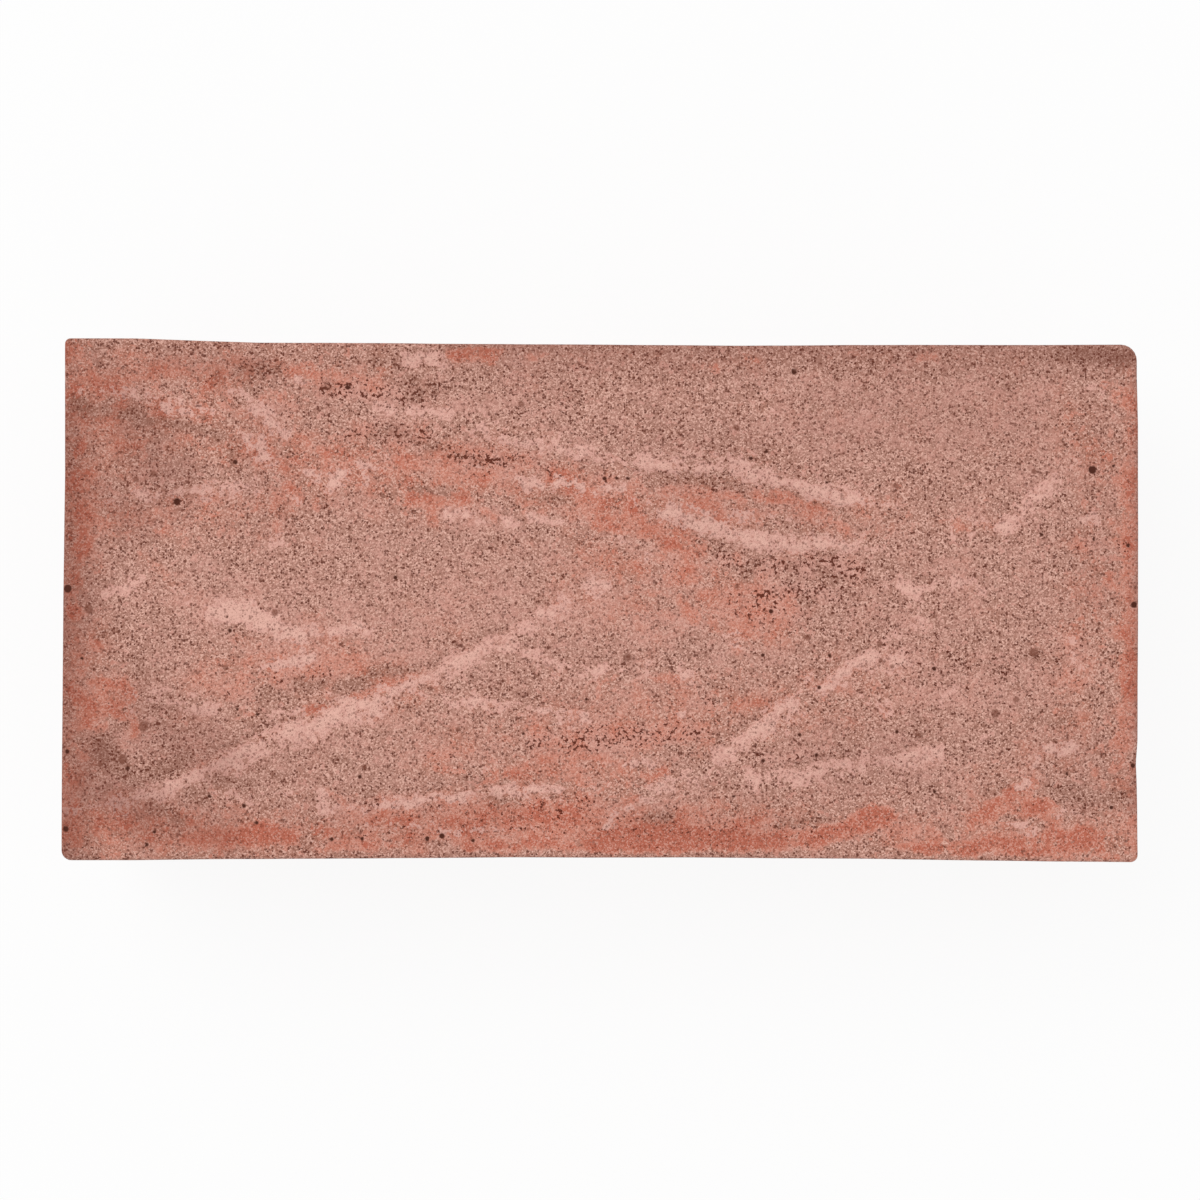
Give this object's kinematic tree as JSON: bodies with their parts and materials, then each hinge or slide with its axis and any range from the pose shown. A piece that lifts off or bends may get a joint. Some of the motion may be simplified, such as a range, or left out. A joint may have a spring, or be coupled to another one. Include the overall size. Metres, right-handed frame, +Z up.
{
  "type": "clay brick",
  "caption": "Solid soft-mud clay brick with rounded arrises, slightly drafted sides and a sanded, folded moulded face; laid in mortar or sand as a wall or paving unit.",
  "frame": {"origin": "middle of the struck bed that the brick lies on", "axes": "+X along the length, +Y across the width towards the back, +Z up through the moulded face"},
  "size_m": [0.24, 0.1166, 0.071],
  "materials": {
    "fired_clay": "matt, sanded"
  },
  "bodies": {
    "root": {"brick": "fired_clay"}
  },
  "joints": []
}
